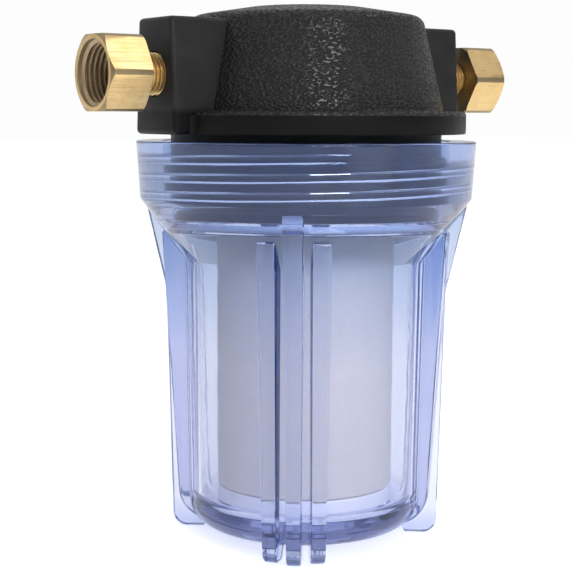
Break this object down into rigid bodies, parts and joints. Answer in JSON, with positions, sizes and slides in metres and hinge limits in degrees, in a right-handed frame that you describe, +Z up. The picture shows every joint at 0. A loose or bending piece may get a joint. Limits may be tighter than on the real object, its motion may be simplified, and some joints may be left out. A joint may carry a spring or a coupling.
{
  "type": "magnetic system filter",
  "caption": "Inline water filter with a black moulded head, brass adaptors on both ports and a clear ribbed screw-on bowl that holds a white cartridge around a magnet core",
  "frame": {"origin": "centre of the feet on the ground plane, under the bowl's axis", "axes": "+Z up along the bowl's axis, +X along the ports towards the outlet, +Y across them"},
  "size_m": [0.1656, 0.118, 0.185],
  "materials": {
    "head_plastic": "moulded, grained on the barrel and smooth on the port block and flange",
    "brass": "machined, drawn hexagon faces",
    "stainless": "drawn tube, polished",
    "magnet_nickel": "nickel plated",
    "pole_steel": "turned",
    "black_rubber": "moulded",
    "pale_silicone": "translucent silicone, moulded",
    "clear_plastic": "polished clear moulding with a blue-violet tint",
    "cap_plastic": "moulded",
    "filter_fibre": "melt-blown fibre, matt"
  },
  "bodies": {
    "head": {"head_casing": "head_plastic", "inlet_adaptor": "brass", "outlet_adaptor": "brass", "magnet_sheath": "stainless", "sheath_plug": "stainless", "sheath_seal_ring": "black_rubber", "magnet_1": "magnet_nickel", "magnet_2": "magnet_nickel", "magnet_3": "magnet_nickel", "magnet_4": "magnet_nickel", "magnet_5": "magnet_nickel", "magnet_6": "magnet_nickel", "pole_disc_1": "pole_steel", "pole_disc_2": "pole_steel", "pole_disc_3": "pole_steel", "pole_disc_4": "pole_steel", "pole_disc_5": "pole_steel"},
    "seal": {"bowl_seal": "pale_silicone"},
    "bowl": {"bowl": "clear_plastic", "cartridge_floor_gasket": "black_rubber", "cartridge_bottom_cap": "cap_plastic", "filter_sleeve": "filter_fibre", "core_tube": "cap_plastic", "cartridge_top_cap": "cap_plastic", "cartridge_top_gasket": "black_rubber"}
  },
  "joints": [
    {"name": "bowl_travel", "type": "slide", "parent": "head", "child": "seal", "axis": [0, 0, -1], "range_m": [0, 0.0175]},
    {"name": "bowl_turn", "type": "hinge", "parent": "seal", "child": "bowl", "pos_m": [0, 0, 0.139], "axis": [0, 0, -1], "range_deg": [0, 1080]}
  ],
  "couplings": [
    {"joint": "bowl_travel", "follows": "bowl_turn", "m_per_rad": 0.0009231}
  ]
}
